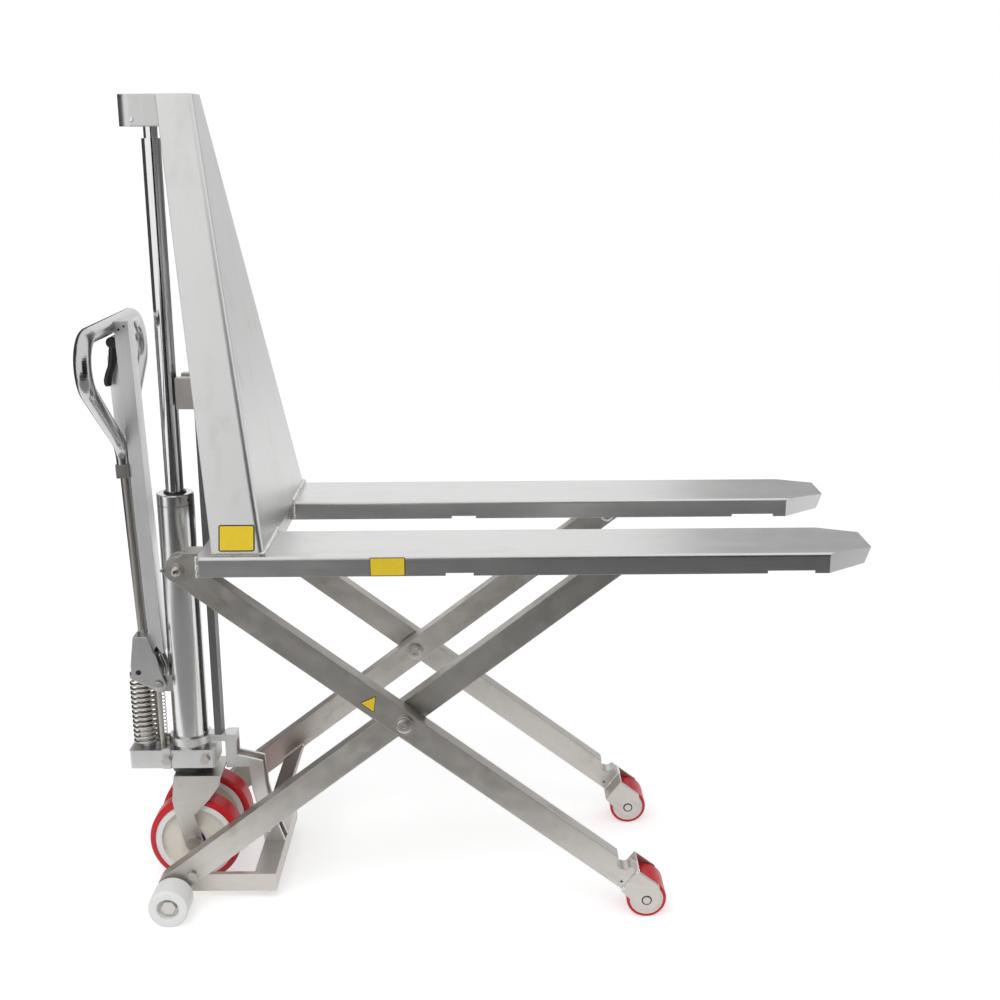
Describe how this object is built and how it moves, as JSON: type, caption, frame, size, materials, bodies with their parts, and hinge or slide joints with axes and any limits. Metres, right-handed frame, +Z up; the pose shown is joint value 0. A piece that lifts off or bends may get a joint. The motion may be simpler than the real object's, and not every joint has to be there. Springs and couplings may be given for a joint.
{
  "type": "scissor pallet truck",
  "caption": "Hand-operated scissor lift pallet truck in stainless steel: forks on crossed arms, tall backrest, lift column, pump handle and steering wheels.",
  "frame": {"origin": "on the floor under the steering axis, which is also the lift column's axis", "axes": "+X along the forks to their tips, +Y to the truck's left, +Z up; the forks stand raised"},
  "size_m": [1.3845, 0.54, 1.5074],
  "materials": {
    "stainless": "satin ground stainless steel",
    "polished": "polished",
    "cylinder": "smooth drawn tube",
    "spring_steel": "bright wire",
    "red_tyre": "satin cast polyurethane",
    "cream_nylon": "moulded",
    "white_nylon": "turned",
    "zinc_core": "turned",
    "black_plastic": "moulded"
  },
  "bodies": {
    "chassis": {"base_frame": "stainless", "risers": "stainless", "column_collar": "stainless", "guide_rail": "stainless", "hinge_pins": "stainless"},
    "steering": {"pump_block": "stainless", "clamp_plates": "stainless", "block_bolts": "stainless", "cylinder_tube": "cylinder", "cylinder_head": "cylinder", "bearing_ring": "black_plastic", "steering_yoke": "stainless", "wheel_axle": "stainless", "rocker_pin": "stainless", "release_rod": "stainless", "return_spring": "spring_steel", "pump_spring": "spring_steel"},
    "plunger": {"pump_plunger": "stainless"},
    "handle": {"rocker": "stainless", "press_roller": "stainless", "handle_bar": "stainless", "handle_tube": "stainless", "handle_loop": "polished"},
    "control": {"control_lever": "black_plastic"},
    "piston": {"piston_rod": "polished"},
    "inner_frame": {"inner_arm_right": "stainless", "inner_arm_left": "stainless", "inner_cross_beam": "stainless", "centre_pins": "stainless", "centre_spacers": "stainless", "slide_pins": "stainless", "arm_bolts": "stainless"},
    "outer_frame": {"outer_arm_right": "stainless", "outer_arm_left": "stainless", "roller_bracket_right": "stainless", "roller_bracket_left": "stainless", "load_axles": "stainless"},
    "carriage": {"fork_right": "stainless", "fork_left": "stainless", "fork_ear_right": "stainless", "fork_ear_left": "stainless", "rear_pins": "stainless", "roller_tracks": "stainless", "backrest": "stainless", "foot_rail": "stainless", "top_bracket": "stainless", "guide_block": "stainless"},
    "steer_wheel_right": {"steer_tyre_right": "red_tyre", "steer_hub_right": "cream_nylon"},
    "floor_wheel_right": {"floor_roller_right": "white_nylon"},
    "slide_wheel_right": {"slide_roller_right": "white_nylon"},
    "load_wheel_right": {"load_roller_tyre_right": "red_tyre", "load_roller_core_right": "zinc_core"},
    "steer_wheel_left": {"steer_tyre_left": "red_tyre", "steer_hub_left": "cream_nylon"},
    "floor_wheel_left": {"floor_roller_left": "white_nylon"},
    "slide_wheel_left": {"slide_roller_left": "white_nylon"},
    "load_wheel_left": {"load_roller_tyre_left": "red_tyre", "load_roller_core_left": "zinc_core"}
  },
  "joints": [
    {"name": "lift", "type": "hinge", "parent": "chassis", "child": "inner_frame", "pos_m": [-0.008, 0, 0.0375], "axis": [0, -1, 0], "range_deg": [-36.8, 0]},
    {"name": "scissor", "type": "hinge", "parent": "inner_frame", "child": "outer_frame", "pos_m": [0.44091, 0, 0.39708], "axis": [0, -1, 0], "range_deg": [0, 73.6]},
    {"name": "fork_level", "type": "hinge", "parent": "outer_frame", "child": "carriage", "pos_m": [0.04795, 0, 0.69644], "axis": [0, -1, 0], "range_deg": [-36.8, 0]},
    {"name": "piston", "type": "slide", "parent": "chassis", "child": "piston", "axis": [0, 0, 1], "range_m": [-0.63561, 0]},
    {"name": "steer", "type": "hinge", "parent": "chassis", "child": "steering", "pos_m": [0, 0, 0.22], "axis": [0, 0, 1], "range_deg": [-45, 45]},
    {"name": "handle_tilt", "type": "hinge", "parent": "steering", "child": "handle", "pos_m": [-0.049, 0, 0.402], "axis": [0, -1, 0], "range_deg": [0, 65]},
    {"name": "plunger", "type": "slide", "parent": "steering", "child": "plunger", "axis": [0, 0, -1], "range_m": [0, 0.04973], "stiffness_N_per_m": 4500, "springref_m": -0.05, "deforming": ["pump_spring"]},
    {"name": "control", "type": "hinge", "parent": "handle", "child": "control", "pos_m": [-0.0953, 0, 1.06879], "axis": [0, -1, 0], "range_deg": [-12, 10]},
    {"name": "steer_wheel_right", "type": "hinge", "parent": "steering", "child": "steer_wheel_right", "pos_m": [0.012, -0.054, 0.09], "axis": [0, 1, 0], "continuous": true},
    {"name": "floor_wheel_right", "type": "hinge", "parent": "chassis", "child": "floor_wheel_right", "pos_m": [-0.008, -0.218, 0.0375], "axis": [0, 1, 0], "continuous": true},
    {"name": "slide_wheel_right", "type": "hinge", "parent": "inner_frame", "child": "slide_wheel_right", "pos_m": [0.83388, -0.134, 0.69644], "axis": [0, 1, 0], "continuous": true},
    {"name": "load_wheel_right", "type": "hinge", "parent": "outer_frame", "child": "load_wheel_right", "pos_m": [0.88983, -0.186, 0.0375], "axis": [0, 1, 0], "continuous": true},
    {"name": "steer_wheel_left", "type": "hinge", "parent": "steering", "child": "steer_wheel_left", "pos_m": [0.012, 0.054, 0.09], "axis": [0, 1, 0], "continuous": true},
    {"name": "floor_wheel_left", "type": "hinge", "parent": "chassis", "child": "floor_wheel_left", "pos_m": [-0.008, 0.218, 0.0375], "axis": [0, 1, 0], "continuous": true},
    {"name": "slide_wheel_left", "type": "hinge", "parent": "inner_frame", "child": "slide_wheel_left", "pos_m": [0.83388, 0.134, 0.69644], "axis": [0, 1, 0], "continuous": true},
    {"name": "load_wheel_left", "type": "hinge", "parent": "outer_frame", "child": "load_wheel_left", "pos_m": [0.88983, 0.186, 0.0375], "axis": [0, 1, 0], "continuous": true}
  ],
  "couplings": [
    {"joint": "scissor", "follows": "lift", "ratio": -2},
    {"joint": "fork_level", "follows": "lift", "ratio": 1},
    {"joint": "piston", "follows": "lift", "m_per_rad": 0.98961},
    {"joint": "plunger", "follows": "handle_tilt", "m_per_rad": 0.043831}
  ]
}
